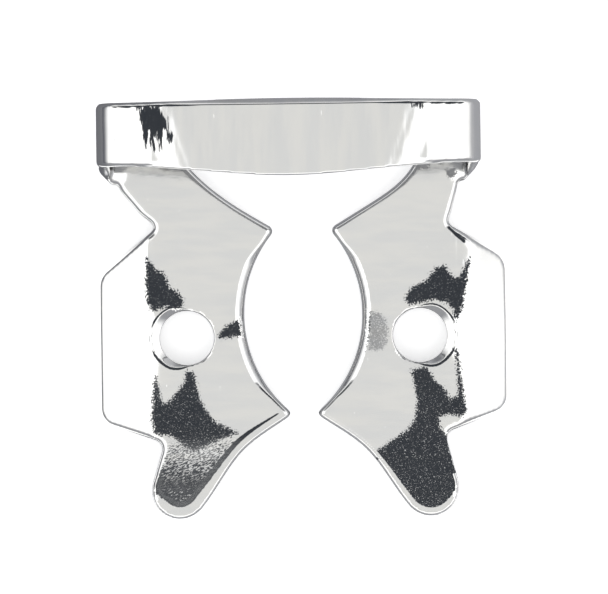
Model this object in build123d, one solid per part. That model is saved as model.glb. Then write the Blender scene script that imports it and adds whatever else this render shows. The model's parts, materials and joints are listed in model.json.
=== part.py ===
"""Rubber dam clamp for a molar: one stamping of spring steel, folded and polished.

Lengths are millimetres. The sheet is laid out about the flat of the jaws: X runs from the left
jaw to the right one, Y runs from the tips back to the bow, and Z rises from the jaws to the bow.
The finished clamp is then set down with its lowest point on Z = 0, under the centre of its box.
"""
from build123d import *
import os
from math import radians, tan

# Sheet
sheet = 0.8
edge_break = 0.25
edge_angle = 30.0

# Folds, as the radius of the sheet's middle and the turn in degrees
fold_line = 11.5
fold_radius = 1.0
wing_drop = 20.0
heel_radius = 0.75
shoulder_radius = 1.4
crown_radius = 20.0
tip_lift = 16.0
tip_fold_radius = 12.0
tip_fold_start = -11.7

# Bow: legs measured from the middle between the jaws to the middle of the sheet
left_leg = 14.7
right_leg = 12.85
bow_rise = 9.0
crown_half = 8.4
crown_drop = 0.7
strip_front = 9.7
strip_back = 14.4
strip_front_swell = 0.8
strip_back_swell = 0.2
leg_foot = 0.8
leg_top = 5.0

# Neck, from the bow's heel to the jaw
neck_front = 8.6
neck_back = 13.4
neck_inner = (8.3, 9.65)
neck_waist = (5.0, 6.9)
neck_notch = (10.95, 5.4)
neck_notch_round = 0.6
neck_front_round = 0.4
neck_flat = 0.35
back_headings = [(-1, 0), (-0.86, -0.5)]

# Jaw, right hand
upper_prong = (2.0, 5.1)
mouth_depth = (4.45, -1.3)
lower_prong = (0.85, -8.8)
upper_prong_round = 0.45
lower_prong_round = 0.35
under_waist = (4.5, -11.4)
under_heading = (-0.8, 0.6)
tip_centre = (9.45, -14.45)
tip_radius = 2.15
tip_outer_angle = 12.0
tip_inner_angle = -140.0
hole_centre = (8.8, -3.0)
hole_diameter = 4.1
hole_rim = 0.1

# Wings: their corners, and the notches before them, differ a little from left to right
wing_reach = 15.5
left_wing_back = 1.7
right_wing_back = 2.8
left_wing_front = -9.3
right_wing_front = -8.6
left_tip_notch = (10.6, -10.9)
right_tip_notch = (10.6, -10.4)
tip_notch_round = 0.7
wing_back_round = 1.6
wing_front_round = 1.4

half = sheet / 2
clear = 4.0
wing_slope = tan(radians(wing_drop))
left_hand = (left_leg, left_wing_back, left_wing_front, left_tip_notch)
right_hand = (right_leg, right_wing_back, right_wing_front, right_tip_notch)


def slope_height(x):
    """Height of the sheet's middle on the slope of a wing."""
    return -(x - fold_line) * wing_slope


def heel_start(leg):
    """Where the neck's flat ends and the bend up into a leg begins."""
    return leg - heel_radius


def ribbon(corners, radii):
    """Closed section of the sheet, with its middle on the corners and bent to the radii."""
    points = [Vector(*corner) for corner in corners]
    steps = [(after - before).normalized() for before, after in zip(points, points[1:])]
    normals = [Vector(-step.Y, step.X) for step in steps]
    pairs = list(zip(normals, normals[1:]))
    shifts = [normals[0]]
    shifts += [(before + after) / (1 + before.dot(after)) for before, after in pairs]
    shifts += [normals[-1]]
    turns = [1 if before.cross(after).Z > 0 else -1 for before, after in zip(steps, steps[1:])]
    sides = []
    for offset in (half, -half):
        corners_here = [point + shift * offset for point, shift in zip(points, shifts)]
        radii_here = [radius - turn * offset for radius, turn in zip(radii, turns)]
        sides.append(FilletPolyline(*corners_here, radius=radii_here))
    ends = [Line(sides[0] @ end, sides[1] @ end) for end in (0, 1)]
    return make_face(sides + ends)


def along_y(face, low, high):
    """Extrude a section drawn as (X, Z) from one Y to another."""
    return extrude(Plane.XZ * face, amount=high - low, dir=(0, 1, 0)).moved(Pos(0, low, 0))


def upright(face):
    """Cut a plan outline through the whole height of the clamp."""
    return extrude(Pos(0, 0, -2 * clear) * face, amount=bow_rise + 4 * clear, dir=(0, 0, 1))


def nearest(sketch, point):
    """Corner of a sketch at a named point."""
    return sketch.vertices().sort_by_distance((*point, 0))[0]


def jaw_outline(leg, wing_back, wing_front, tip_notch):
    """Plan of a jaw, drawn on the right: its tip, its wing, and its neck out under the leg."""
    heel, out = heel_start(leg), leg + clear
    tip_end = CenterArc(tip_centre, tip_radius, tip_outer_angle, tip_inner_angle - tip_outer_angle)
    wing_corners = [(wing_reach, wing_back), (wing_reach, wing_front)]
    neck_corner = (heel - neck_flat, neck_front)
    back = Spline((heel, neck_back), neck_inner, neck_waist, upper_prong, tangents=back_headings)
    under = Spline(tip_end @ 1, under_waist, lower_prong, tangents=[tip_end % 1, under_heading])
    outline = make_face([
        Polyline((out, neck_front), neck_corner, neck_notch, *wing_corners, tip_notch, tip_end @ 0),
        tip_end,
        under,
        ThreePointArc(lower_prong, mouth_depth, upper_prong),
        back,
        Line((heel, neck_back), (out, neck_back)),
        Line((out, neck_back), (out, neck_front)),
    ])
    rounds = [
        (neck_corner, neck_front_round),
        (neck_notch, neck_notch_round),
        (wing_corners[0], wing_back_round),
        (wing_corners[1], wing_front_round),
        (tip_notch, tip_notch_round),
        (upper_prong, upper_prong_round),
        (lower_prong, lower_prong_round),
    ]
    for point, radius in rounds:
        outline = fillet(nearest(outline, point), radius)
    return outline


def jaw(hand):
    """A jaw as far as its neck, on the right: flat to the fold, down to the wing, up to the tip."""
    far = wing_reach + clear
    across = ribbon([(0, 0), (fold_line, 0), (far, slope_height(far))], [fold_radius])
    body = along_y(across, tip_fold_start, neck_notch[1])
    end = tip_centre[1] - tip_radius - clear
    corner = tip_fold_start - tip_fold_radius * tan(radians(tip_lift) / 2)
    lift = (corner - end) * tan(radians(tip_lift))
    lengthwise = ribbon([(tip_fold_start + clear, 0), (corner, 0), (end, lift)], [tip_fold_radius])
    tip = extrude(Plane.YZ * lengthwise, amount=far, dir=(1, 0, 0))
    tip = split(tip, Plane((0, tip_fold_start, 0), z_dir=(0, -1, 0)))
    return (body + tip) & upright(jaw_outline(*hand))


def bow_section():
    """Section across the clamp, from the flat of one jaw over the bow to the flat of the other."""
    middle = (right_leg - left_leg) / 2
    corners = []
    for side, leg in ((-1, left_leg), (1, right_leg)):
        rising = [
            (side * upper_prong[0] / 2, 0),
            (side * leg, 0),
            (side * leg, bow_rise - crown_drop),
            (middle + side * crown_half, bow_rise),
        ]
        corners += rising if side < 0 else rising[::-1]
    bends = [heel_radius, shoulder_radius, crown_radius]
    return ribbon(corners, bends + bends[::-1])


def neck_block(hand):
    """Plan of a jaw and its neck on the right, as high as the foot of the leg."""
    return extrude(Pos(0, 0, -2 * clear) * jaw_outline(*hand), amount=2 * clear + leg_foot, dir=(0, 0, 1))


def leg_block():
    """Side view of the legs: they lean back between the necks and the strip."""
    front = Spline((neck_front, leg_foot), (strip_front, leg_top), tangents=[(0, 1), (0, 1)])
    back = Spline((strip_back, leg_top), (neck_back, leg_foot), tangents=[(0, -1), (0, -1)])
    face = make_face([front, Line(front @ 1, back @ 0), back, Line(back @ 1, front @ 0)])
    reach = left_leg + right_leg
    return extrude(Plane.YZ * face, amount=2 * reach, dir=(1, 0, 0)).moved(Pos(-reach, 0, 0))


def strip_block():
    """Plan of the strip, widest at its middle, above the legs."""
    middle = (right_leg - left_leg) / 2
    left, right = -heel_start(left_leg), heel_start(right_leg)
    far_left, far_right = -left_leg - clear, right_leg + clear
    flat = [(1, 0), (1, 0)]
    front = Spline((left, strip_front), (middle, strip_front - strip_front_swell), (right, strip_front),
                   tangents=flat)
    back = Spline((left, strip_back), (middle, strip_back + strip_back_swell), (right, strip_back),
                  tangents=flat)
    face = make_face([
        Line((far_left, strip_front), front @ 0),
        front,
        Line(front @ 1, (far_right, strip_front)),
        Line((far_right, strip_front), (far_right, strip_back)),
        Line((far_right, strip_back), back @ 1),
        back,
        Line(back @ 0, (far_left, strip_back)),
        Line((far_left, strip_back), (far_left, strip_front)),
    ])
    return extrude(Pos(0, 0, leg_top) * face, amount=bow_rise + clear, dir=(0, 0, 1))


def bow():
    """Strip of the bow with its legs and necks, as far as the jaws."""
    band = along_y(bow_section(), neck_notch[1], strip_back + clear)
    necks = neck_block(right_hand) + mirror(neck_block(left_hand), about=Plane.YZ)
    return band & (necks + leg_block() + strip_block())


def sharp_edges(solid):
    """Edges where two faces meet at an angle, so not the lines where a bend begins."""
    faces_at = {}
    for face in solid.faces():
        for edge in face.edges():
            faces_at.setdefault(edge, []).append(face)
    found = []
    for edge, faces in faces_at.items():
        if len(faces) == 2:
            first, second = (face.normal_at(edge @ 0.5) for face in faces)
            if first.get_angle(second) > edge_angle:
                found.append(edge)
    return found


def forceps_hole(side):
    """Cutter for the round hole that a forceps tip enters, with its rims broken."""
    wall, rim = hole_diameter / 2, hole_diameter / 2 + hole_rim
    hole = Cylinder(wall, 2 * clear)
    for face in (-1, 1):
        bottom, top = (wall, rim) if face > 0 else (rim, wall)
        hole += Pos(0, 0, face * (half - hole_rim / 2)) * Cone(bottom, top, hole_rim)
    return Pos(side * hole_centre[0], hole_centre[1], 0) * hole


def clamp():
    """The whole clamp as one solid, set down on its lowest point."""
    blank = jaw(right_hand) + mirror(jaw(left_hand), about=Plane.YZ) + bow()
    polished = chamfer(sharp_edges(blank), edge_break)
    polished -= [forceps_hole(side) for side in (-1, 1)]
    box = polished.bounding_box()
    return Pos(-box.center().X, -box.center().Y, -box.min.Z) * polished


if __name__ == "__main__":
    os.makedirs("parts", exist_ok=True)
    export_step(clamp(), "parts/clamp.step")
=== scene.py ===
# %% [markdown]
# Rubber dam clamp
#
# The clamp is one piece of spring steel: it is stamped from sheet, folded and then polished in a
# tumbler until it shines like a mirror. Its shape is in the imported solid, so this lesson is about two
# things: rims that are soft enough to catch the light, and a room that is worth reflecting. A mirror has
# almost no colour of its own, and looks like the room that it stands in.

# %% Load the frame
import json
from math import cos, radians, sin, tan
import bmesh
import bpy
import numpy as np
from mathutils.kdtree import KDTree
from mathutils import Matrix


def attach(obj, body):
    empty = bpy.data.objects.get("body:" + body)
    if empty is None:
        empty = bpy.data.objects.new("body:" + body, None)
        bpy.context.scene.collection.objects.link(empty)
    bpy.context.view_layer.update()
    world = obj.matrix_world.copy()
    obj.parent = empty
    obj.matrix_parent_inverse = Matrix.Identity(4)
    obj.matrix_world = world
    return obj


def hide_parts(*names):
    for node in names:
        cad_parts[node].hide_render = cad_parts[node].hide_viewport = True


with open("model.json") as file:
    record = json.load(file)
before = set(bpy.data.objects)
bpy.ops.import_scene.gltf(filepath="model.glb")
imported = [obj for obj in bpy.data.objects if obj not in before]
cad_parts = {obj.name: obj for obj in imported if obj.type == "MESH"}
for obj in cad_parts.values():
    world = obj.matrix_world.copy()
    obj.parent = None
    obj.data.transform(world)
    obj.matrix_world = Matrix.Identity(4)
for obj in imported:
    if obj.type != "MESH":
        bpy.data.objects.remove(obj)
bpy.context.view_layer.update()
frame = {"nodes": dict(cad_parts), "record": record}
clamp_node = frame["nodes"]["clamp"]
MM = 0.001

# %% [markdown]
# The camera
#
# The clamp lies on its wings and is seen from straight above, a little turned. A long lens keeps the bow,
# which stands nearer to the camera than the jaws, from looking much larger than they do.

# %% Camera
PIXELS_WIDE = 608
PIXELS_HIGH = 594
PIXELS_PER_MM = 13.25
VIEW_DISTANCE = 300 * MM
VIEW_ROLL = 0.75
AIM_PIXEL = (303.0, 310.0)
JAW_HEIGHT = 1.8 * MM
SENSOR_WIDTH = 36.0
CLIP_START = 10 * MM

view_width = PIXELS_WIDE / PIXELS_PER_MM * MM
camera_data = bpy.data.cameras.new("camera")
camera_data.sensor_width = SENSOR_WIDTH
camera_data.lens = camera_data.sensor_width * VIEW_DISTANCE / view_width
camera_data.clip_start = CLIP_START
camera = bpy.data.objects.new("camera", camera_data)
bpy.context.scene.collection.objects.link(camera)
off_x = (PIXELS_WIDE / 2 - AIM_PIXEL[0]) / PIXELS_PER_MM * MM
off_y = (AIM_PIXEL[1] - PIXELS_HIGH / 2) / PIXELS_PER_MM * MM
camera.location = (off_x, off_y, JAW_HEIGHT + VIEW_DISTANCE)
camera.rotation_euler = (0, 0, -radians(VIEW_ROLL))
bpy.context.scene.camera = camera
print("lens", round(camera_data.lens, 1), "mm at", VIEW_DISTANCE, "m")

# %% [markdown]
# The polished sheet
#
# Tumbling wears every edge of the stamping round. The solid has its edges broken by a flat cut, and a
# bevel would stay faceted. So a copy of the solid is merged into one skin and covered anew with small even
# cells. It is smoothed once here, and again after the rims are shaped, as the tumbler does it: flats stay
# flat, while rims and folds turn soft.

# %% Skin of small even cells
CELL = 0.135 * MM
MERGE = 0.002 * MM
FIRST_STEPS = 2
EACH_STEP = 0.5


def tumble(piece, steps, group=""):
    """Smooth a piece a number of times, less where a vertex group says so."""
    smoothing = piece.modifiers.new("tumble", "SMOOTH")
    smoothing.factor = EACH_STEP
    smoothing.iterations = steps
    smoothing.vertex_group = group


def make_plain(piece):
    """Turn a piece with its modifiers into a plain mesh, shaded smooth."""
    graph = bpy.context.evaluated_depsgraph_get()
    mesh = bpy.data.meshes.new_from_object(piece.evaluated_get(graph))
    piece.modifiers.clear()
    piece.data = mesh
    mesh.polygons.foreach_set("use_smooth", [True] * len(mesh.polygons))
    return mesh


merged = bmesh.new()
merged.from_mesh(clamp_node.data)
bmesh.ops.remove_doubles(merged, verts=merged.verts, dist=MERGE)
skin = bpy.data.meshes.new("clamp_skin")
merged.to_mesh(skin)
merged.free()
clamp = bpy.data.objects.new("clamp_skin", skin)
bpy.context.scene.collection.objects.link(clamp)
cells = clamp.modifiers.new("cells", "REMESH")
cells.mode = "VOXEL"
cells.voxel_size = CELL
tumble(clamp, FIRST_STEPS)
polished = make_plain(clamp)
print("skin", len(polished.vertices), "points,", len(polished.polygons), "cells")

# %% [markdown]
# Measuring the skin
#
# The next steps move points of the skin by rules, so they need to know, for each point, where it is, which
# way its face looks, and how far it is from the nearest rim as seen from above. The points on the walls of
# the jaws go into a search tree, and every point asks for the few that are nearest, because the mean of
# several runs more evenly along a rim than one does. All of it is in millimetres.

# %% Places, headings and rims
UPRIGHT = 0.25
RIM_BACK = 7.0
NEIGHBOURS = 5
SHEET = 0.8
TINY = 1e-6
holes = [mount for mount in frame["record"]["mounts"] if mount["kind"] == "bore"]
jaw_middle = holes[0]["pos_m"][2] / MM


def read_skin(mesh):
    """Places of the points in mm, and the ways that the skin faces there."""
    numbers = np.empty(3 * len(mesh.vertices))
    mesh.vertices.foreach_get("co", numbers)
    places = numbers.reshape(-1, 3) / MM
    mesh.vertex_normals.foreach_get("vector", numbers)
    return places, numbers.reshape(-1, 3).copy()


points, headings = read_skin(polished)
walls = np.flatnonzero((np.abs(headings[:, 2]) < UPRIGHT) & (points[:, 1] < RIM_BACK))
rims = KDTree(len(walls))
for index in walls:
    rims.insert((points[index, 0], points[index, 1], 0), index)
rims.balance()
found = [rims.find_n((x, y, 0), NEIGHBOURS) for x, y, z in points]
nearest = np.array([[place[:2] for place, index, away in near] for near in found]).mean(axis=1)
inward = points[:, :2] - nearest
rim_away = np.hypot(inward[:, 0], inward[:, 1])
inward[walls] = -headings[walls, :2]
inward /= np.maximum(np.hypot(inward[:, 0], inward[:, 1]), TINY)[:, None]
widest = float(rim_away[points[:, 1] < RIM_BACK].max())
print("rims", len(walls), "points on walls, the jaws reach", round(widest, 1), "mm from a rim")

# %% [markdown]
# Folds by hand
#
# The wings are bent down by hand over a block, so the folds wander: they come in beside the holes, where
# the sheet is weak, and run further out elsewhere. The solid has straight folds. Here each wing is hung
# anew between its own wandering fold and its outer edge, which stays at its height.

# %% Wandering folds
FOLD_LINE = 11.5
WING_REACH = 15.5
WING_SLOPE = tan(radians(20))
FOLD_SHARP, FOLD_SOFT = 0.1, 0.3
BESIDE_FOLD = 9.0
UNDER_BOW = 2.0
FOLDS = {
    -1: [(-9.6, 11.5), (-7.0, 11.6), (-4.5, 11.3), (-2.0, 11.2), (0.2, 11.5), (2.0, 11.95), (5.0, 11.7),
         (6.6, 11.5)],
    1: [(-9.6, 11.5), (-8.0, 12.2), (-6.0, 12.2), (-4.4, 11.9), (-2.6, 11.2), (-1.2, 11.2), (0.2, 11.9),
        (2.2, 12.4), (4.4, 12.9), (6.6, 11.5)],
}


def hang(x, fold, softness):
    """Height of a wing that hangs from a fold to its outer edge, with the fold eased."""
    drop = (WING_REACH - FOLD_LINE) * WING_SLOPE
    beyond = (x - fold + np.sqrt((x - fold) ** 2 + softness ** 2)) / 2
    return -beyond * drop / (WING_REACH - fold)


for outward in (-1, 1):
    fold_y, fold_x = np.array(FOLDS[outward]).T
    on_side = (outward * points[:, 0] > BESIDE_FOLD) & (points[:, 2] < jaw_middle + UNDER_BOW)
    on_side &= (points[:, 1] > fold_y[0]) & (points[:, 1] < fold_y[-1])
    out = outward * points[on_side, 0]
    fold = np.interp(points[on_side, 1], fold_y, fold_x)
    moved = hang(out, fold, FOLD_SOFT) - hang(out, FOLD_LINE, FOLD_SHARP)
    points[on_side, 2] += moved
    print("fold", outward, "moves the wing by up to", round(float(np.abs(moved).max()), 2), "mm")

# %% [markdown]
# Rims of the mouth and the tips
#
# The edge of the mouth, which bites under the bulge of the tooth, is ground to a slope after stamping, and
# the lifted ends of the jaws have a level rim where they were pressed over. Cutting the slope would leave
# ragged cells, so the sheet is thinned instead: each point sinks by its share of the sheet's height. Points
# of the tips move to the height that the tip has further in.

# %% Ground mouth
MOUTH_WIDTH = 0.55
MOUTH_SLOPE = tan(radians(31))
MOUTH_REACH = 5.6
MOUTH_ENDS = (-7.6, 5.9)
MOUTH_FADE = 2.5
MOUTH_ARC = [(0.85, -7.8), (4.45, -0.3), (2.0, 6.1)]


def ease(value, low, high):
    """Rise smoothly from 0 at low to 1 at high."""
    share = np.clip((value - low) / (high - low), 0, 1)
    return share * share * (3 - 2 * share)


arc = np.array(MOUTH_ARC)
centre = np.linalg.solve(2 * (arc[1:] - arc[0]), (arc[1:] ** 2 - arc[0] ** 2).sum(axis=1))
radius = np.hypot(*(arc[0] - centre))
from_mouth = np.hypot(np.abs(points[:, 0]) - centre[0], points[:, 1] - centre[1]) - radius
faces_mouth = np.abs(points[:, 0]) < MOUTH_REACH
faces_mouth &= (points[:, 1] > MOUTH_ENDS[0]) & (points[:, 1] < MOUTH_ENDS[1])
fade = ease(points[:, 1], MOUTH_ENDS[0], MOUTH_ENDS[0] + MOUTH_FADE)
fade *= 1 - ease(points[:, 1], MOUTH_ENDS[1] - MOUTH_FADE, MOUTH_ENDS[1])
width = MOUTH_WIDTH * fade
sunk = np.where(faces_mouth, np.clip(width - from_mouth, 0, width), 0) * MOUTH_SLOPE
points[:, 2] -= sunk * np.clip((points[:, 2] - jaw_middle) / SHEET + 0.5, 0, 1)
print("mouth ground down by up to", round(float(sunk.max()), 2), "mm")

# %% Level rim of the tips
TIP_START = -10.7
TIP_RADIUS = 11.6
TIP_TURN = radians(16)
TIP_RIMS = {-1: (0.6, 0.88), 1: (0.45, 0.62)}
OUTER_RIM = 0.3
TIP_RIM_PLACES = (-10.5, -14.0)
RIM_TURN = (-0.1, 0.7)


def tip_lift(y):
    """How high the top of a jaw is lifted at a place along it."""
    run = np.maximum(TIP_START - y, 0)
    turn = np.minimum(np.arcsin(np.minimum(run / TIP_RADIUS, 1)), TIP_TURN)
    straight = np.maximum(run - TIP_RADIUS * sin(TIP_TURN), 0)
    return TIP_RADIUS * (1 - np.cos(turn)) + straight * tan(TIP_TURN)


to_end = ease(-points[:, 1], -TIP_RIM_PLACES[0], -TIP_RIM_PLACES[1])
narrow, wide = np.where(points[:, :1] < 0, TIP_RIMS[-1], TIP_RIMS[1]).T
widened = narrow + (wide - narrow) * to_end - OUTER_RIM
rim_width = OUTER_RIM + widened * ease(inward[:, 1], *RIM_TURN)
to_crease = np.maximum(rim_width - rim_away, 0) * np.maximum(inward[:, 1], 0)
lowered = tip_lift(points[:, 1] + to_crease) - tip_lift(points[:, 1])
above_middle = np.clip((points[:, 2] - jaw_middle - tip_lift(points[:, 1])) / SHEET + 0.5, 0, 1)
points[:, 2] += lowered * above_middle
print("tips lowered at their rims by up to", round(float(-lowered.min()), 2), "mm")

# %% [markdown]
# Wear at the forceps holes
#
# Forceps spread the jaws by pushing outwards in the holes, so the outer lip of each hole is worn to a
# slope. The rim of a hole is first raised to the full height of the sheet, which keeps it crisp. Then every
# point above a shallow cone, set a little outwards of the hole, is pressed down onto the cone.

# %% Worn lips
WEAR_SHIFT = 0.3
WEAR_REACH = 2.4
WEAR_NARROWS = 0.3
WEAR_SLOPES = (0.85, 0.44)
STEEP_TURNS = (0.55, 1.0)
WIDE_TURNS = (-0.3, 0.5)
LIP_DEPTH = 0.2
CRISP = (0.03, 0.7)
FACES_UP = 0.3
FAR = 9.0

lip_away = np.full(len(points), FAR)
lip_turn = np.zeros(len(points))
for mount in holes:
    hole_x, hole_y = mount["pos_m"][0] / MM, mount["pos_m"][1] / MM
    outward = 1 if hole_x > 0 else -1
    across = points[:, 0] - hole_x - outward * WEAR_SHIFT
    along = points[:, 1] - hole_y
    away = np.hypot(across, along)
    turn = outward * across / np.maximum(away, TINY)
    from_wall = np.hypot(points[:, 0] - hole_x, along) - mount["dims"]["r_mm"]
    crisp = (from_wall > CRISP[0]) & (from_wall < CRISP[1]) & (headings[:, 2] > FACES_UP)
    points[crisp, 2] = np.maximum(points[crisp, 2], jaw_middle + SHEET / 2)
    wear_slope = WEAR_SLOPES[0] + (WEAR_SLOPES[1] - WEAR_SLOPES[0]) * ease(turn, *STEEP_TURNS)
    from_lip = away - WEAR_REACH + WEAR_NARROWS * (1 - ease(turn, *WIDE_TURNS))
    cone = jaw_middle + SHEET / 2 + wear_slope * from_lip
    worn = (from_lip < 0) & (points[:, 2] > cone) & (points[:, 2] < jaw_middle + SHEET)
    points[worn, 2] = np.maximum(cone[worn], jaw_middle - LIP_DEPTH)
    closer = np.abs(from_lip) < np.abs(lip_away)
    lip_away[closer] = from_lip[closer]
    lip_turn[closer] = turn[closer]
    print(mount["name"], int(worn.sum()), "points worn")

# %% [markdown]
# The heels
#
# Where the necks turn up into the legs of the bow, hand bending leaves its traces. The sheet rises a little
# before the bend, its front corner runs back in a slant instead of standing square, and the left neck
# spreads outwards. Both faces of the sheet move together, which keeps its thickness.

# %% Heels
LEGS = {-1: 14.7, 1: 12.85}
HEEL_FRONT, HEEL_BACK = 9.6, 11.8
HEEL_TOP = (3.0, 7.0)
HEEL_STARTS = (6.2, 7.6)
CORNER_RUN, CORNER_SLANT = 0.65, 1.05
RISE_RUN, RISE_END, RISE_BEND = 1.9, 1.2, 0.17
SPREADS = {-1: 0.45, 1: 0.1}
SPREAD_STARTS = (9.5, 11.5)
SPREAD_ENDS = (8.8, 10.6)

for outward, leg in LEGS.items():
    out = outward * points[:, 0]
    low = (1 - ease(points[:, 2], *HEEL_TOP)) * ease(points[:, 1], *HEEL_STARTS)
    spread = SPREADS[outward] * ease(out, *SPREAD_STARTS)
    spread = spread * (1 - ease(points[:, 1], *SPREAD_ENDS)) * low
    rise = RISE_BEND * np.clip(out - leg + RISE_RUN, 0, RISE_END) ** 2 * low
    to_front = np.clip((HEEL_BACK - points[:, 1]) / (HEEL_BACK - HEEL_FRONT), 0, 1)
    set_back = CORNER_SLANT * np.maximum(out - leg + CORNER_RUN, 0) * to_front * low
    points += np.column_stack([outward * spread, set_back, rise])
    print("heel", outward, "spread, set back and raised by up to",
          [round(float(part.max()), 2) for part in (spread, set_back, rise)], "mm")

# %% [markdown]
# The strip of the bow
#
# The strip is arched, so its height is first found along its length, as the highest point in each short
# stretch. Its ends begin to bend a little earlier at the front than at the back, its front edge is crisp,
# and its back edge is ground to a slope that is widest at the middle.

# %% Strip of the bow
BOW_FOOT = 5.0
BACK_EDGE, BACK_SWELL = 15.4, 0.2
BOW_MIDDLE, BOW_HALF = -0.9, 13.8
BACK_WIDTHS = (0.12, 0.5)
BACK_SLOPE = tan(radians(40))
STRETCH = 0.25
STRIP_MIDDLE = 12.9
END_SLANT = 0.36
END_PLACES = (4.0, 7.0, 9.0, 11.0)
FRONT_CRISP = 0.4
FRONT_FADES = (8.5, 12.5)
FRONT_BREAK = 0.3

on_bow = points[:, 2] > BOW_FOOT
stretches = np.round(points[:, 0] / STRETCH).astype(int)
first = stretches.min()
stretches -= first
tops = np.full(stretches.max() + 1, -np.inf)
fronts = np.full(stretches.max() + 1, np.inf)
np.maximum.at(tops, stretches[on_bow], points[on_bow, 2])
np.minimum.at(fronts, stretches[on_bow], points[on_bow, 1])
stations = (np.arange(len(tops)) + first) * STRETCH
on_strip = np.isfinite(tops)


def strip_top(x):
    """Height of the strip's upper side along its length."""
    return np.interp(x, stations[on_strip], tops[on_strip])


from_middle = points[:, 0] - BOW_MIDDLE
beside = np.abs(from_middle)
at_front = on_bow & (headings[:, 2] > FACES_UP) & (points[:, 1] - fronts[stretches] < FRONT_CRISP)
edge_height = strip_top(points[:, 0]) - FRONT_BREAK * ease(beside, *FRONT_FADES)
at_front &= (points[:, 2] > edge_height - FRONT_CRISP) & (beside < FRONT_FADES[1])
points[at_front, 2] = np.maximum(points[at_front, 2], edge_height[at_front])
slanted = END_SLANT * ease(beside, *END_PLACES[:2]) * (1 - ease(beside, *END_PLACES[2:]))
earlier = np.sign(from_middle) * slanted * (STRIP_MIDDLE - points[:, 1])
lower = strip_top(points[:, 0] + earlier) - strip_top(points[:, 0])
points[:, 2] += np.where(on_bow, lower, 0)
swell = 1 - (from_middle / BOW_HALF) ** 2
back = BACK_EDGE + BACK_SWELL * swell
short = BACK_WIDTHS[0] + (BACK_WIDTHS[1] - BACK_WIDTHS[0]) * swell - (back - points[:, 1])
slope = strip_top(points[:, 0]) + lower - np.maximum(short, 0) * BACK_SLOPE
ground = on_bow & (short > 0) & (points[:, 2] > slope)
points[ground, 2] = slope[ground]
print("bow", int(ground.sum()), "points ground at the back")

# %% [markdown]
# Second tumbling
#
# All that was pressed, ground and bent is now smoothed together. The mouth and the tips stand out and get
# the most of it. The rest stays crisper, and most of all the rims of the holes, which the tumbler's chips
# hardly reach. A vertex group says how much each point gets.

# %% Tumbled again
LAST_STEPS = 4
MOUTH_SHARE, TIP_SHARE = 0.4, 0.8
HELD_BACK = 0.3
HOLE_HELD_BACK = 0.1
HOLE_RIM = 0.7
TIP_BACK = -9.0

polished.vertices.foreach_set("co", (points * MM).ravel())
polished.update()
soft = clamp.vertex_groups.new(name="soft")
by_hole = np.zeros(len(points), bool)
for mount in holes:
    hole_x, hole_y = mount["pos_m"][0] / MM, mount["pos_m"][1] / MM
    from_hole = np.hypot(points[:, 0] - hole_x, points[:, 1] - hole_y)
    by_hole |= from_hole < mount["dims"]["r_mm"] + HOLE_RIM
by_mouth = (np.abs(points[:, 0]) < MOUTH_REACH) & (points[:, 1] < MOUTH_ENDS[1])
shares = np.where(by_mouth, MOUTH_SHARE, HELD_BACK)
shares[points[:, 1] < TIP_BACK] = TIP_SHARE
shares[by_hole] = HOLE_HELD_BACK
for share in np.unique(shares):
    soft.add([int(index) for index in np.flatnonzero(shares == share)], float(share), "REPLACE")
tumble(clamp, LAST_STEPS, "soft")
polished = make_plain(clamp)
clamp.vertex_groups.clear()
points, headings = read_skin(polished)
print("tumbled again,", int(by_hole.sum()), "of", len(points), "points held back at the holes")
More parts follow.
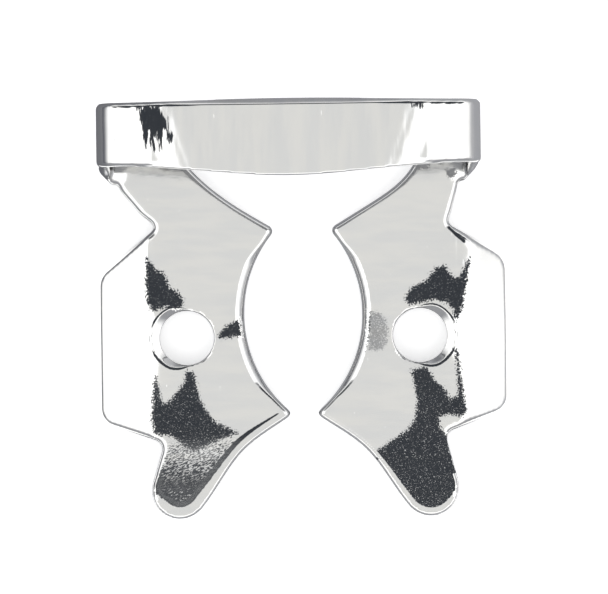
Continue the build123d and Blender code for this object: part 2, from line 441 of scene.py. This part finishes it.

# %% [markdown]
# Marks of the polishing wheel
#
# Where the wheel leaned, beside the folds and around the holes, the face is about 12 degrees off level and
# mirrors a dark part of the room. Each mark is a small outline drawn in millimetres, as seen from
# above, with a number that fills it out or thins it, and a share of the full lean. Every point of the skin
# keeps how far inside a mark it is, and the finish turns that into a lean. A line is drawn in the same way,
# as a route with half of its width.

# %% Outlines of the marks
MARKS = {
    "left_above_hole": (0.05, 1.0, [
        (-11.7, 4.0), (-11.0, 3.1), (-10.5, 2.9), (-10.0, 1.7), (-9.6, 1.6), (-9.0, 0.9), (-9.1, 0.4),
        (-9.6, 0.2), (-10.3, 0.4), (-11.3, 0.1), (-11.7, 0.6), (-11.8, 2.0)]),
    "left_beside_hole": (0.0, 1.0, [
        (-6.5, -1.9), (-6.0, -1.2), (-5.5, -0.9), (-4.8, -0.6), (-4.7, -1.9), (-5.4, -2.0), (-6.4, -2.1)]),
    "left_below_hole": (0.05, 1.0, [
        (-8.9, -4.5), (-8.3, -4.6), (-7.9, -6.6), (-7.4, -7.5), (-6.7, -8.4), (-5.0, -9.2), (-6.8, -9.8),
        (-8.3, -10.5), (-9.2, -10.1), (-9.9, -9.4), (-11.3, -9.2), (-11.5, -8.1), (-11.2, -4.8),
        (-10.7, -6.9), (-10.2, -6.8), (-9.0, -5.3)]),
    "right_above_hole": (0.05, 1.0, [
        (7.7, 0.8), (8.2, 1.6), (9.3, 2.1), (10.0, 3.0), (10.7, 3.2), (11.3, 2.3), (11.8, 2.3),
        (12.6, 3.8), (12.0, 0.0), (11.5, -1.0), (11.3, -0.1), (10.9, 0.4), (9.9, 0.7), (8.0, 0.3)]),
    "right_beside_hole": (0.0, 0.6, [
        (4.9, -0.1), (5.7, -0.1), (6.3, -0.7), (6.5, -1.9), (6.3, -2.7), (6.0, -3.2), (4.8, -3.2)]),
    "right_below_hole": (0.05, 1.0, [
        (8.1, -4.6), (9.2, -4.4), (9.9, -5.5), (10.6, -6.1), (11.0, -6.8), (11.6, -6.6), (11.5, -3.2),
        (12.2, -7.8), (11.8, -8.2), (10.9, -8.0), (10.1, -8.2), (10.2, -9.0), (10.9, -9.6), (10.9, -10.8),
        (12.5, -12.6), (11.5, -15.5), (8.0, -15.5), (4.5, -11.7), (5.2, -10.8), (7.6, -9.2),
        (8.3, -8.4), (8.5, -6.9)]),
    "left_bow_end": (0.0, 1.0, [
        (-11.8, 15.0), (-10.3, 15.0), (-9.4, 12.9), (-9.6, 12.4), (-10.0, 13.3), (-10.3, 11.8),
        (-10.6, 13.2), (-10.8, 11.6), (-11.1, 13.3), (-11.3, 12.0), (-11.6, 13.4)]),
    "right_bow_end": (-0.3, 1.0, [(7.8, 15.3), (9.4, 15.2), (9.3, 14.4), (8.0, 14.6)]),
    "right_neck": (-0.22, 1.0, [(8.5, 11.4), (9.8, 11.4), (9.7, 10.4), (8.7, 10.5)]),
    "right_heel": (-0.1, 1.0, [(10.9, 10.5), (11.6, 10.5), (11.6, 9.8), (11.0, 9.8)]),
}
LINES = {
    "right_neck_notch": (0.1, [(11.1, 6.1), (11.6, 5.5), (12.2, 5.0)]),
}
print(len(MARKS), "marks and", len(LINES), "lines")

# %% Reach of the marks


def away_from_run(start, end, x, y):
    """Distance from the nearest place of a straight run."""
    run_x, run_y = end[0] - start[0], end[1] - start[1]
    share = ((x - start[0]) * run_x + (y - start[1]) * run_y) / (run_x ** 2 + run_y ** 2)
    share = np.clip(share, 0, 1)
    return np.hypot(x - start[0] - share * run_x, y - start[1] - share * run_y)


def reach_inside(outline, x, y):
    """Distance from the edge of an outline, above zero inside it and below zero outside."""
    inside = np.zeros(len(x), bool)
    closest = np.full(len(x), np.inf)
    for start, end in zip(outline, outline[1:] + outline[:1]):
        closest = np.minimum(closest, away_from_run(start, end, x, y))
        if start[1] != end[1]:
            crosses = (start[1] > y) != (end[1] > y)
            cross_x = start[0] + (y - start[1]) * (end[0] - start[0]) / (end[1] - start[1])
            inside ^= crosses & (x < cross_x)
    return np.where(inside, closest, -closest)


def keep(name, values):
    """Store one number at each point of the skin, for the material to read."""
    layer = polished.attributes.new(name, "FLOAT", "POINT")
    layer.data.foreach_set("value", values.astype(np.float32))


# %% Marks on the skin
TOP_SIDE = 0.35
OFF = -5.0

upward = headings[:, 2]
x, y = points[:, 0], points[:, 1]
on_bow = points[:, 2] > BOW_FOOT
mark_reach = np.full(len(points), OFF)
mark_share = np.ones(len(points))
for name, (fill, share, outline) in MARKS.items():
    here = on_bow if "bow" in name else ~on_bow
    reach = np.where(here, reach_inside(outline, x, y) + fill, OFF)
    mark_share[reach > mark_reach] = share
    mark_reach = np.maximum(mark_reach, reach)
mark_reach[upward < TOP_SIDE] = OFF
keep("mark_reach", mark_reach)
keep("mark_share", mark_share)
print("marked", int((mark_reach > 0).sum()), "points")

# %% [markdown]
# Fine dark lines
#
# Dark lines run along the worn lips of the holes, along the crease of the left tip's rim and beside a notch
# of the right neck, where the sheet turns sharply. They are only one to three cells of the skin wide. So
# each point near a line keeps how far to a side of its middle it is, and the finish draws the line between
# the points.

# %% Lines on the skin
LINE_ZONE = 0.6
LIP_LINE = 0.08
LIP_TURNS = (-0.3, 0.2, 0.85, 0.97)
CREASE_LINE = (0.2, 0.06)
CREASE_PLACES = (-6.5, -1.2)
TIP_PLACE = -12.4
UNDER_TURN, UNDER_BACK, UNDER_REACH = 0.25, -7.5, 8.5

line_side = np.full(len(points), -OFF)
line_half = np.full(len(points), OFF)


def draw_line(where, side, half):
    """Keep a line at some points, by how far to a side of its middle they are and its half width."""
    line_side[where] = side[where]
    line_half[where] = half[where]


lip_half = LIP_LINE * ease(lip_turn, *LIP_TURNS[:2]) * (1 - ease(lip_turn, *LIP_TURNS[2:]))
draw_line(np.abs(lip_away) < LINE_ZONE, lip_away - LIP_LINE, lip_half)
for half_width, route in LINES.values():
    runs = zip(route, route[1:])
    away = np.minimum.reduce([away_from_run(start, end, x, y) for start, end in runs])
    draw_line(away < LINE_ZONE, away, np.full(len(points), half_width))
crease = rim_away - rim_width
under = (inward[:, 1] > UNDER_TURN) & (y < UNDER_BACK) & (np.abs(x) < UNDER_REACH)
under |= y < TIP_PLACE
crease_half = CREASE_LINE[0] + (CREASE_LINE[1] - CREASE_LINE[0]) * ease(x, *CREASE_PLACES)
by_crease = under & (x < CREASE_PLACES[1]) & (np.abs(crease) < LINE_ZONE)
draw_line(by_crease, crease - crease_half, crease_half)
line_half[(upward < TOP_SIDE) | on_bow] = OFF
keep("line_side", line_side)
keep("line_half", line_half)
print("lined", int((line_half > np.abs(line_side)).sum()), "points")

# %% [markdown]
# Grain and level rims
#
# The left tip was brushed across, and its coarse hairs lean: some back towards the bow, where the tip
# begins to rise, and some forwards. The rims of the tips, and the strip of the bow just before its ground
# back edge, are level. How much of each a point has is kept as a number from 0 to 1.

# %% Grain and level rims on the skin
CREASE_BACK, NO_CREASE = -9.5, 1.0
CREASE_SOFT = 0.1
BRUSHED = (-9.0, -10.6, -12.4, -14.0)
COMBED = (-9.6, -10.8)
LEVEL_RIM = (0.1, 0.25)
LEVEL_TURNS = (0.1, 0.5)
LEVEL_BACK = (-0.45, 0.02)
LEVEL_FADES = (6.0, 8.0)

keep("crease", np.where(under & (y < CREASE_BACK), crease, NO_CREASE))
left_tip = ease(crease, -CREASE_SOFT, CREASE_SOFT) * (x < 0)
brushed = ease(-y, -BRUSHED[0], -BRUSHED[1]) * (1 - ease(-y, -BRUSHED[2], -BRUSHED[3])) * left_tip
keep("brushed", brushed)
keep("combed", ease(-y, -COMBED[0], -COMBED[1]) * left_tip)
level = ease(-crease, 0, CREASE_SOFT) * ease(rim_away, *LEVEL_RIM) * ease(inward[:, 1], *LEVEL_TURNS)
level = np.where(under, level, 0)
before_slope = on_bow & (short > LEVEL_BACK[0]) & (short < LEVEL_BACK[1]) & (upward > TOP_SIDE)
level = np.where(before_slope, 1 - ease(beside, *LEVEL_FADES), level)
keep("level", level)
print("brushed", int((brushed > 0).sum()), "points, levelled", int((level > 0).sum()))

# %% [markdown]
# Nodes in a few words
#
# Materials, the floor and the room are all built from small sums, so a few helpers add a node, set its
# inputs from numbers or from the outputs of other nodes, and hand back its result.

# %% Helpers for nodes
def feed(tree, socket, value):
    """Set an input from a number, a colour or vector, or link it to another node's output."""
    if isinstance(value, bpy.types.NodeSocket):
        tree.links.new(value, socket)
    elif value is not None:
        socket.default_value = value


def calc(tree, operation, first, second=None):
    """Work out a number from one or two others."""
    node = tree.nodes.new("ShaderNodeMath")
    node.operation = operation
    feed(tree, node.inputs[0], first)
    feed(tree, node.inputs[1], second)
    return node.outputs[0]


def rest_of(tree, share):
    """What a share leaves of the whole."""
    return calc(tree, "SUBTRACT", 1.0, share)


def calc_vector(tree, operation, first, second=None, scale=None):
    """Work out a vector from one or two others, or from one and a scale."""
    node = tree.nodes.new("ShaderNodeVectorMath")
    node.operation = operation
    feed(tree, node.inputs[0], first)
    feed(tree, node.inputs[1], second)
    if scale is not None:
        feed(tree, node.inputs["Scale"], scale)
    return node.outputs[0]


def step(tree, value, low, high):
    """Rise smoothly from 0 at low to 1 at high."""
    node = tree.nodes.new("ShaderNodeMapRange")
    node.interpolation_type = "SMOOTHSTEP"
    feed(tree, node.inputs["Value"], value)
    feed(tree, node.inputs["From Min"], low)
    feed(tree, node.inputs["From Max"], high)
    return node.outputs["Result"]


def blend(tree, share, first, second):
    """Mix two colours, where a share of 0 gives the first."""
    node = tree.nodes.new("ShaderNodeMix")
    node.data_type = "RGBA"
    feed(tree, node.inputs[0], share)
    feed(tree, node.inputs[6], first)
    feed(tree, node.inputs[7], second)
    return node.outputs[2]


def noise(tree, place, size, detail=2.0):
    """A noise whose lumps are about as large as a size."""
    node = tree.nodes.new("ShaderNodeTexNoise")
    feed(tree, node.inputs["Vector"], place)
    feed(tree, node.inputs["Scale"], 1 / size)
    feed(tree, node.inputs["Detail"], detail)
    return node


# %% [markdown]
# The steel
#
# A mirror finish is metal with little roughness, and what makes it real is how far it is from perfect.
# Several things turn the surface a little: a slow waviness, fine hairs (across the clamp on its jaws, from
# front to back on its bow), the coarse hairs of the left tip, a few scratches, and the marks, lines and
# level rims that the skin keeps. Each turns the normal, and the hairs also dull the shine a little, so what
# shows is always a reflection of the room, and it moves as a reflection does when the clamp is turned. The
# colour drifts between a cool and a warm grey.

# %% Steel: coordinates
STRETCH_ACROSS = (0.22, 1.0, 1.0)
STRETCH_ALONG = (1.0, 0.16, 1.0)
BOW_BLEND = 2.0
NOISE_MIDDLE = 0.5
CENTRE = (NOISE_MIDDLE, NOISE_MIDDLE, NOISE_MIDDLE)

steel = bpy.data.materials.new("polished_steel")
steel.use_nodes = True
tree = steel.node_tree
shader = tree.nodes["Principled BSDF"]
shader.inputs["Metallic"].default_value = 1.0
coords = tree.nodes.new("ShaderNodeTexCoord")
place = calc_vector(tree, "SCALE", coords.outputs["Object"], scale=1 / MM)
split = tree.nodes.new("ShaderNodeSeparateXYZ")
feed(tree, split.inputs[0], place)
bow_share = step(tree, split.outputs["Z"], BOW_FOOT, BOW_FOOT + BOW_BLEND)
across_hairs = calc_vector(tree, "MULTIPLY", place, STRETCH_ACROSS)
along_hairs = calc_vector(tree, "MULTIPLY", place, STRETCH_ALONG)
hair_place = blend(tree, bow_share, across_hairs, along_hairs)
geometry = tree.nodes.new("ShaderNodeNewGeometry")
print("steel: hairs turn between", BOW_FOOT, "and", BOW_FOOT + BOW_BLEND, "mm up")


def kept(name):
    """A number that the skin keeps at each point."""
    node = tree.nodes.new("ShaderNodeAttribute")
    node.attribute_name = name
    return node.outputs["Fac"]


def tilted(normal, texture, amount):
    """Turn a normal by the colours of a noise."""
    swing = calc_vector(tree, "SUBTRACT", texture.outputs["Color"], CENTRE)
    swing = calc_vector(tree, "SCALE", swing, scale=amount)
    return calc_vector(tree, "ADD", normal, swing)


# %% Steel: waves, hairs and scratches
WAVE_SIZE, WAVE_TILT = 4.0, 0.1
HAIR_SIZE, HAIR_TILT = 0.13, 0.03
BRUSH_SIZE, BRUSH_SLANT = 0.085, 25.0
BRUSH_STRETCH = (0.35, 1.0, 1.0)
BRUSHED_LEAN, BRUSHED_FROM = 1.4, 0.41
COMBED_LEAN, COMBED_FROM = -1.4, 0.53
SCRATCH_SIZE, SCRATCH_TILT = 0.3, 0.7
SCRATCH_STRETCH = (2.2, 0.3, 1.0)
SCRATCH_FROM = (0.755, 0.79)
TOWARDS_BOW = (0, 1, 0)

normal = tilted(geometry.outputs["Normal"], noise(tree, place, WAVE_SIZE), WAVE_TILT)
hairs = noise(tree, hair_place, HAIR_SIZE)
normal = tilted(normal, hairs, HAIR_TILT)
brush_turn = tree.nodes.new("ShaderNodeMapping")
feed(tree, brush_turn.inputs["Vector"], place)
feed(tree, brush_turn.inputs["Rotation"], (0, 0, -radians(BRUSH_SLANT)))
brush_place = calc_vector(tree, "MULTIPLY", brush_turn.outputs["Vector"], BRUSH_STRETCH)
brush_hairs = noise(tree, brush_place, BRUSH_SIZE)
tip_hairs = [("brushed", BRUSHED_LEAN, BRUSHED_FROM), ("combed", COMBED_LEAN, COMBED_FROM)]
for name, amount, start in tip_hairs:
    raised = calc(tree, "MAXIMUM", calc(tree, "SUBTRACT", brush_hairs.outputs["Fac"], start), 0.0)
    hair_lean = calc(tree, "MULTIPLY", calc(tree, "MULTIPLY", raised, kept(name)), amount)
    normal = calc_vector(tree, "ADD", normal, calc_vector(tree, "SCALE", TOWARDS_BOW, scale=hair_lean))
scratch_place = calc_vector(tree, "MULTIPLY", place, SCRATCH_STRETCH)
scratches = noise(tree, scratch_place, SCRATCH_SIZE)
scratched = step(tree, scratches.outputs["Fac"], *SCRATCH_FROM)
normal = tilted(normal, scratches, calc(tree, "MULTIPLY", scratched, SCRATCH_TILT))
print("steel: waves of", WAVE_SIZE, "mm, hairs of", HAIR_SIZE, "mm, scratches of", SCRATCH_SIZE, "mm")

# %% Steel: leaning marks
FRAY_SIZE, FRAY_REACH = 0.13, 1.1
FRAY_DETAIL, FRAY_FINE = 4.0, 0.08
MARK_EDGE = 0.2
LINE_EDGE = 0.05
CREASE_EDGE = 0.04
SPECK_SIZE, SPECK_LEAN = 0.08, -0.09
SPECK_FROM = (0.52, 0.75)
LEAN = (0, 0.21, 0.98)
LEVEL = (0, 0, 1)

fray_place = blend(tree, bow_share, place, along_hairs)
fray_noise = noise(tree, fray_place, FRAY_SIZE, FRAY_DETAIL)
fray = calc(tree, "SUBTRACT", fray_noise.outputs["Fac"], NOISE_MIDDLE)
mark_edge = calc(tree, "ADD", kept("mark_reach"), calc(tree, "MULTIPLY", fray, FRAY_REACH))
in_mark = calc(tree, "MULTIPLY", step(tree, mark_edge, -MARK_EDGE, MARK_EDGE), kept("mark_share"))
specks = step(tree, noise(tree, fray_place, SPECK_SIZE).outputs["Fac"], *SPECK_FROM)
in_mark = calc(tree, "MULTIPLY", in_mark, step(tree, kept("crease"), -CREASE_EDGE, CREASE_EDGE))
line_reach = calc(tree, "SUBTRACT", kept("line_half"), calc(tree, "ABSOLUTE", kept("line_side")))
line_edge = calc(tree, "ADD", line_reach, calc(tree, "MULTIPLY", fray, FRAY_FINE))
in_line = step(tree, line_edge, -LINE_EDGE, LINE_EDGE)
leaning = calc(tree, "MAXIMUM", in_mark, in_line)
for share, target in ((kept("level"), LEVEL), (leaning, LEAN)):
    own_part = calc_vector(tree, "SCALE", normal, scale=rest_of(tree, share))
    normal = calc_vector(tree, "ADD", own_part, calc_vector(tree, "SCALE", target, scale=share))
speck_lean = calc(tree, "MULTIPLY", calc(tree, "MULTIPLY", specks, in_mark), SPECK_LEAN)
normal = calc_vector(tree, "ADD", normal, calc_vector(tree, "SCALE", TOWARDS_BOW, scale=speck_lean))
feed(tree, shader.inputs["Normal"], calc_vector(tree, "NORMALIZE", normal))
print("steel: marks lean by", round(float(np.degrees(np.arctan2(LEAN[1], LEAN[2]))), 1), "degrees")

# %% Steel: colour and sheen
STEEL_COOL = (0.80, 0.803, 0.80, 1)
STEEL_WARM = (0.85, 0.845, 0.825, 1)
MOTTLE_SIZE, MOTTLE_DETAIL = 0.9, 6.0
MOTTLE_STEP = (0.3, 0.7)
SHINE_LOW, SHINE_HIGH = 0.05, 0.16
BRUSHED_ROUGH = 0.12

mottle = noise(tree, hair_place, MOTTLE_SIZE, MOTTLE_DETAIL)
warmth = step(tree, mottle.outputs["Fac"], *MOTTLE_STEP)
feed(tree, shader.inputs["Base Color"], blend(tree, warmth, STEEL_COOL, STEEL_WARM))
shine = tree.nodes.new("ShaderNodeMapRange")
feed(tree, shine.inputs["Value"], hairs.outputs["Fac"])
feed(tree, shine.inputs["To Min"], SHINE_LOW)
feed(tree, shine.inputs["To Max"], SHINE_HIGH)
grain = calc(tree, "MAXIMUM", kept("brushed"), kept("combed"))
brushed_rough = calc(tree, "MULTIPLY", grain, BRUSHED_ROUGH)
feed(tree, shader.inputs["Roughness"], calc(tree, "ADD", shine.outputs["Result"], brushed_rough))
clamp.data.materials.clear()
clamp.data.materials.append(steel)
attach(clamp, "root")
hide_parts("clamp")
print("steel", len(tree.nodes), "nodes")

# %% [markdown]
# The floor
#
# Small things like this are lit on a white sheet until their shadows are almost gone. The steel would
# mirror that sheet and lose its outline, so photographers lay grey card around the object, just outside
# the view. Here the sheet itself does both: it looks white, and reflections see it as grey, apart from
# bright strips beside the wings, which keep the thin edges of the wings pale. The strips end before the
# legs of the bow, which stay grey against the white. The grey and the strips are a painted reflection:
# the sheet shows them to reflections only, and the strips also glow there. To the camera the sheet glows
# white, a painted light that lifts the clamp's shadow on it.

# %% Floor
FLOOR_SIZE = 1.0
FLOOR_SEEN = (0.92, 0.92, 0.92, 1)
LEFT_REFLECTED_GREY = (0.19, 0.195, 0.215, 1)
RIGHT_REFLECTED_GREY = (0.46, 0.465, 0.49, 1)
REFLECTED_GREYS_MEET = (-15.0, -10.0)
# Strength of the floor's glow, a painted light.
FLOOR_GLOW = 0.55
FLOOR_ROUGH = 0.8
BRIGHT_STRIPS = (13.0, 14.5, 19.0, 20.5)
STRIP_ENDS = (6.5, 8.5)
BLACK = (0, 0, 0, 1)
WHITE = (1, 1, 1, 1)

bpy.ops.mesh.primitive_plane_add(size=FLOOR_SIZE, location=(0, 0, 0))
floor = bpy.context.object
floor.name = "floor"
paper = bpy.data.materials.new("white_paper")
paper.use_nodes = True
sheet = paper.node_tree
sheet_shader = sheet.nodes["Principled BSDF"]
sheet_shader.inputs["Roughness"].default_value = FLOOR_ROUGH
sheet_shader.inputs["Emission Strength"].default_value = FLOOR_GLOW
rays = sheet.nodes.new("ShaderNodeLightPath")
floor_coords = sheet.nodes.new("ShaderNodeTexCoord")
floor_split = sheet.nodes.new("ShaderNodeSeparateXYZ")
floor_place = calc_vector(sheet, "SCALE", floor_coords.outputs["Object"], scale=1 / MM)
feed(sheet, floor_split.inputs[0], floor_place)
off_middle = calc(sheet, "ABSOLUTE", floor_split.outputs["X"])
strip = step(sheet, off_middle, *BRIGHT_STRIPS[:2])
strip = calc(sheet, "MULTIPLY", strip, rest_of(sheet, step(sheet, off_middle, *BRIGHT_STRIPS[2:])))
past_strips = step(sheet, floor_split.outputs["Y"], *STRIP_ENDS)
strip = calc(sheet, "MULTIPLY", strip, rest_of(sheet, past_strips))
# The grey card and the white strips are a painted reflection: only reflections see them.
reflected_grey = blend(sheet, step(sheet, floor_split.outputs["X"], *REFLECTED_GREYS_MEET), LEFT_REFLECTED_GREY, RIGHT_REFLECTED_GREY)
mirrored = blend(sheet, strip, reflected_grey, WHITE)
glossy = rays.outputs["Is Glossy Ray"]
feed(sheet, sheet_shader.inputs["Base Color"], blend(sheet, glossy, FLOOR_SEEN, mirrored))
# The floor glows white to the camera, a painted light that lifts the clamp's shadow on it, and glows in the
# bright strips to reflections, a painted reflection.
glow = calc(sheet, "MAXIMUM", rays.outputs["Is Camera Ray"], calc(sheet, "MULTIPLY", glossy, strip))
feed(sheet, sheet_shader.inputs["Emission Color"], blend(sheet, glow, BLACK, WHITE))
floor.data.materials.append(paper)
print("floor", FLOOR_SIZE, "m square")

# %% [markdown]
# The room
#
# What the steel shows is the room. Straight above is the grey of the ceiling, which level faces mirror.
# Around it is a white tent, which the slopes of the wings and the ends of the bow mirror. Behind the clamp
# stands a dark card, high up, and low down the tent falls off into grey walls, darker on the left. At the
# front the grey begins higher, so that the flats keep some tone when the clamp is seen from behind.

# %% Room
TENT = (1.45, 1.45, 1.45, 1)
CEILING = (0.82, 0.82, 0.81, 1)
CARD = (0.042, 0.047, 0.056, 1)
LEFT_WALL = (0.15, 0.155, 0.175, 1)
RIGHT_WALL = (0.50, 0.505, 0.53, 1)
CEILING_EDGE = (6.5, 13.0)
WALL_EDGE = (45.0, 84.0)
CARD_NEAR = (5.0, 19.0)
CARD_FAR = (46.0, 56.0)
CARD_SIDES = (58.0, 46.0)
WALL_TURN = (-0.4, 0.4)
FRONT_WALL = (0.36, 0.365, 0.385, 1)
FRONT_EDGE = (28.0, 62.0)
FRONT_SIDES = (70.0, 45.0)

world = bpy.data.worlds.new("studio")
bpy.context.scene.world = world
world.use_nodes = True
room = world.node_tree
sight = room.nodes.new("ShaderNodeTexCoord")
sight_split = room.nodes.new("ShaderNodeSeparateXYZ")
feed(room, sight_split.inputs[0], sight.outputs["Generated"])
off_zenith = calc(room, "ARCCOSINE", sight_split.outputs["Z"])
back_share = calc(room, "DIVIDE", sight_split.outputs["Y"], calc(room, "SINE", off_zenith))


def past(angles):
    """Rise from 0 to 1 between two angles from straight above, in degrees."""
    return step(room, off_zenith, radians(angles[0]), radians(angles[1]))


wall = blend(room, step(room, sight_split.outputs["X"], *WALL_TURN), LEFT_WALL, RIGHT_WALL)
tent = blend(room, past(CEILING_EDGE), CEILING, TENT)
tent = blend(room, past(WALL_EDGE), tent, wall)
front_share = calc(room, "MULTIPLY", back_share, -1.0)
front_sides = step(room, front_share, cos(radians(FRONT_SIDES[0])), cos(radians(FRONT_SIDES[1])))
tent = blend(room, calc(room, "MULTIPLY", past(FRONT_EDGE), front_sides), tent, FRONT_WALL)
in_card = calc(room, "MULTIPLY", past(CARD_NEAR), rest_of(room, past(CARD_FAR)))
card_sides = step(room, back_share, cos(radians(CARD_SIDES[0])), cos(radians(CARD_SIDES[1])))
in_card = calc(room, "MULTIPLY", in_card, card_sides)
feed(room, room.nodes["Background"].inputs["Color"], blend(room, in_card, tent, CARD))
bpy.context.scene.view_settings.view_transform = "Standard"
print("room", len(room.nodes), "nodes")
